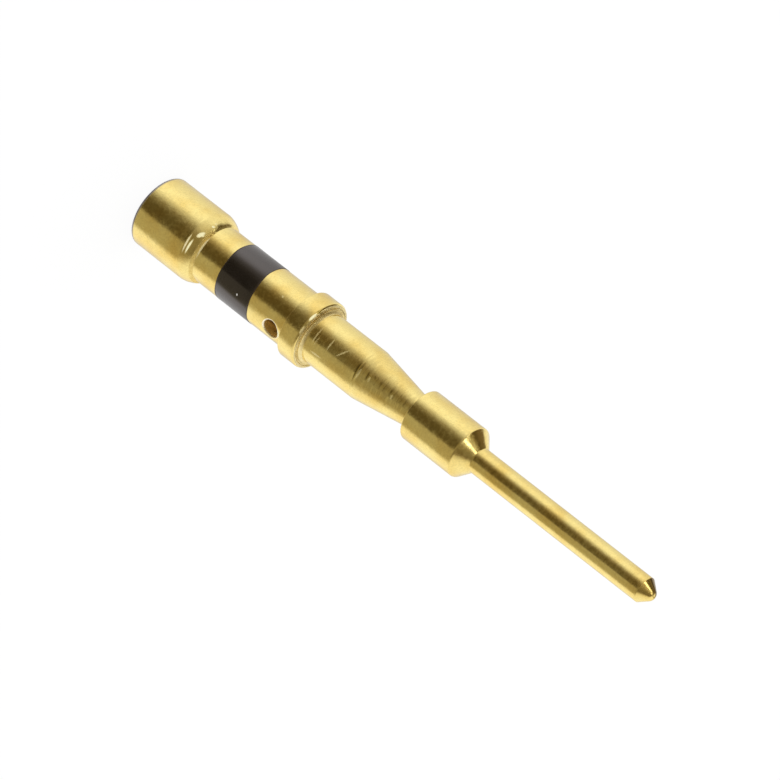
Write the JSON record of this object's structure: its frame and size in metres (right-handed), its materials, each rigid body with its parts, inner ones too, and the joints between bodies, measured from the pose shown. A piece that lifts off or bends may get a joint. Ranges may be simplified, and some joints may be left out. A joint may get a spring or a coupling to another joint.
{
  "type": "crimp pin contact",
  "caption": "Turned, gold plated crimp pin contact: funnel mouth, bored wire barrel with inspection hole and dark band, retention collar, waisted body and long round pin.",
  "frame": {"origin": "centre of the funnel mouth's end face, which is the face the contact stands on", "axes": "+Z along the turning axis towards the pin's tip, -Y through the inspection hole"},
  "size_m": [0.0028, 0.0028, 0.0248],
  "materials": {
    "gold_plating": "satin gold plating over fine turning marks",
    "band_ink": "satin black ink"
  },
  "bodies": {
    "root": {"contact_body": "gold_plating", "colour_band": "band_ink"}
  },
  "joints": []
}
